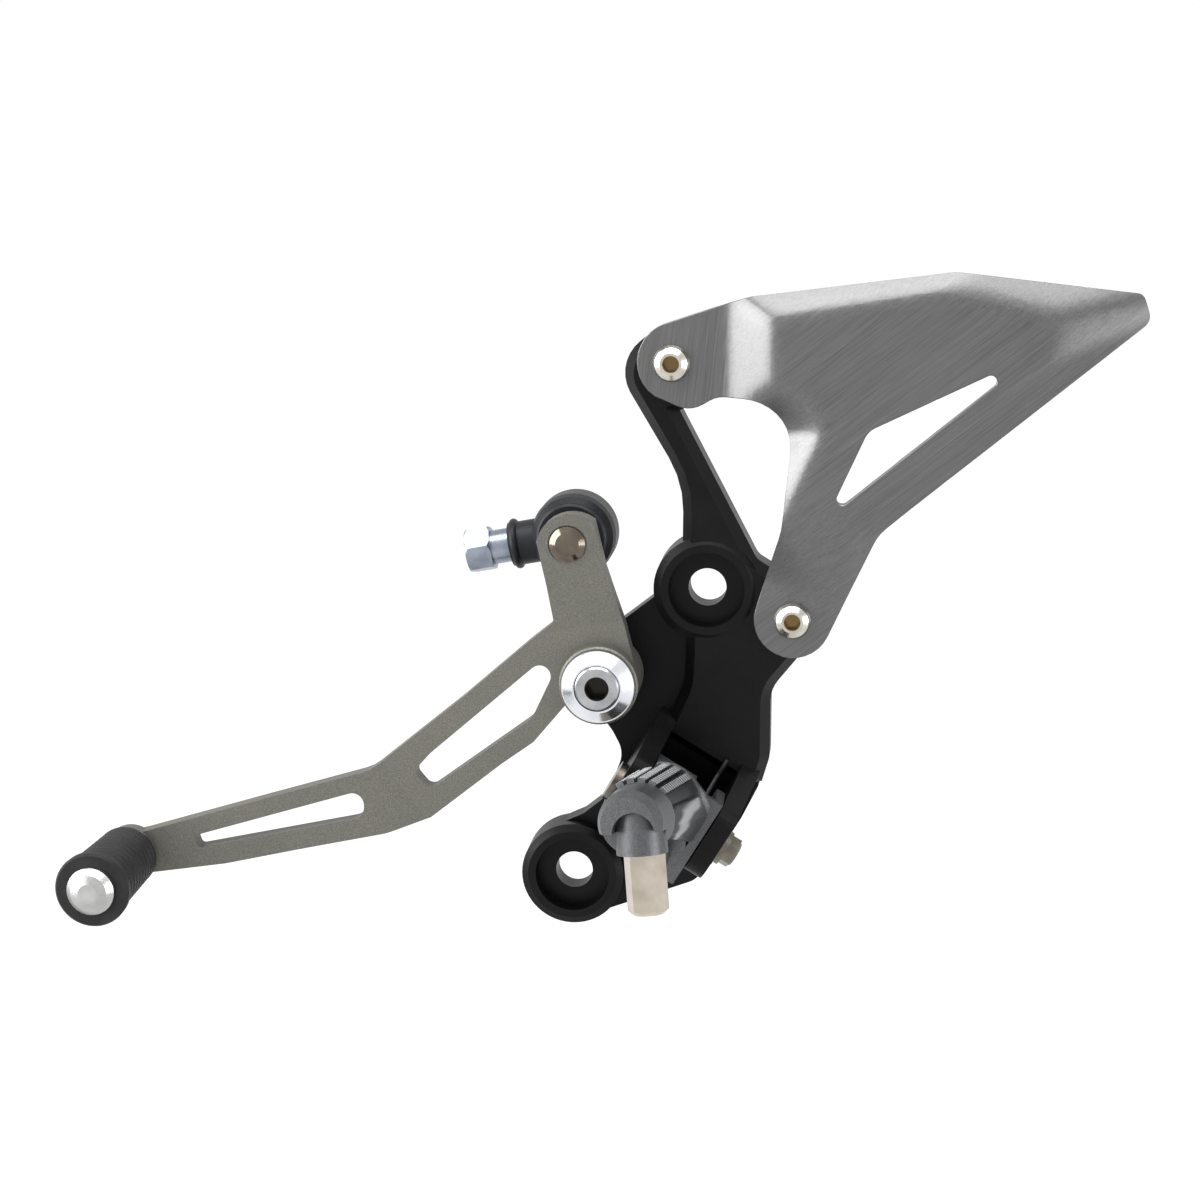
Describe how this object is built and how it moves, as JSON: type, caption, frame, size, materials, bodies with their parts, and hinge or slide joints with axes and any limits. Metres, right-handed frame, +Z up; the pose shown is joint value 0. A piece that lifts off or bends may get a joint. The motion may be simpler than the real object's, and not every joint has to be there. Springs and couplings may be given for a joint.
{
  "type": "motorcycle footrest bracket",
  "caption": "Footrest bracket with a bent heel guard, a shift lever with a rubber peg and a ball joint, and a folding foot peg",
  "frame": {"origin": "Centre of the upper frame-bolt bore, on the flat back face that lies on the motorcycle's frame", "axes": "+Z up, +X to the rear of the motorcycle, -Y out to the rider's foot; the back face lies in the plane y = 0"},
  "size_m": [0.301, 0.0862, 0.1938],
  "materials": {
    "black_paint": "satin black coat on cast aluminium",
    "brushed_sheet": "brushed sheet",
    "nickel_screw": "dull nickel plate",
    "ground_steel": "turned and ground steel",
    "turned_aluminium": "bright turned",
    "seal_rubber": "smooth black rubber",
    "spring_steel": "drawn spring wire",
    "blasted_aluminium": "fine blasted, machined edges",
    "bush_bronze": "sintered bearing bronze",
    "zinc_plate": "bluish zinc plate",
    "grip_rubber": "black moulded rubber with ribs",
    "race_plastic": "white bearing plastic",
    "boot_rubber": "soft black rubber",
    "cast_aluminium": "rough cast",
    "bright_steel": "bright plated steel"
  },
  "bodies": {
    "bracket_body": {"bracket": "black_paint", "heel_guard": "brushed_sheet", "guard_screw_upper": "nickel_screw", "guard_screw_lower": "nickel_screw", "pivot_sleeve": "ground_steel", "pivot_cap": "turned_aluminium", "pivot_bolt": "nickel_screw", "pivot_seal_front": "seal_rubber", "pivot_seal_rear": "seal_rubber", "peg_hinge_pin": "nickel_screw", "pin_washer": "nickel_screw", "pin_screw": "nickel_screw", "peg_spring": "spring_steel"},
    "lever_body": {"shift_lever": "blasted_aluminium", "pivot_bush_front": "bush_bronze", "pivot_bush_rear": "bush_bronze", "shift_peg_rod": "ground_steel", "shift_peg_washer": "zinc_plate", "shift_peg_rubber": "grip_rubber", "ball_stud": "ground_steel"},
    "race_front_body": {"ball_race_front": "race_plastic"},
    "race_rear_body": {"ball_race_rear": "race_plastic"},
    "rod_end_body": {"rod_end_housing": "zinc_plate", "rod_end_cap": "zinc_plate", "rod_end_boot": "boot_rubber"},
    "peg_body": {"foot_peg": "cast_aluminium", "feeler_bolt": "bright_steel"}
  },
  "joints": [
    {"name": "lever_pivot", "type": "hinge", "parent": "bracket_body", "child": "lever_body", "pos_m": [-0.0299, -0.0185, -0.026], "axis": [0, 1, 0], "range_deg": [-12, 12]},
    {"name": "ball_swivel", "type": "hinge", "parent": "lever_body", "child": "race_front_body", "pos_m": [-0.039, -0.00664, 0.0144], "axis": [0, 1, 0], "range_deg": [-25, 25]},
    {"name": "ball_tilt", "type": "hinge", "parent": "race_front_body", "child": "race_rear_body", "pos_m": [-0.039, -0.00664, 0.0144], "axis": [0.1805, 0, -0.9836], "range_deg": [-8, 8]},
    {"name": "ball_roll", "type": "hinge", "parent": "race_rear_body", "child": "rod_end_body", "pos_m": [-0.039, -0.00664, 0.0144], "axis": [-0.9836, 0, -0.1805], "range_deg": [-8, 8]},
    {"name": "peg_fold", "type": "hinge", "parent": "bracket_body", "child": "peg_body", "pos_m": [-0.00921, -0.028, -0.06329], "axis": [-0.8572, 0, 0.515], "range_deg": [0, 60], "stiffness_Nm_per_rad": 0.15, "springref_deg": -28.65}
  ]
}
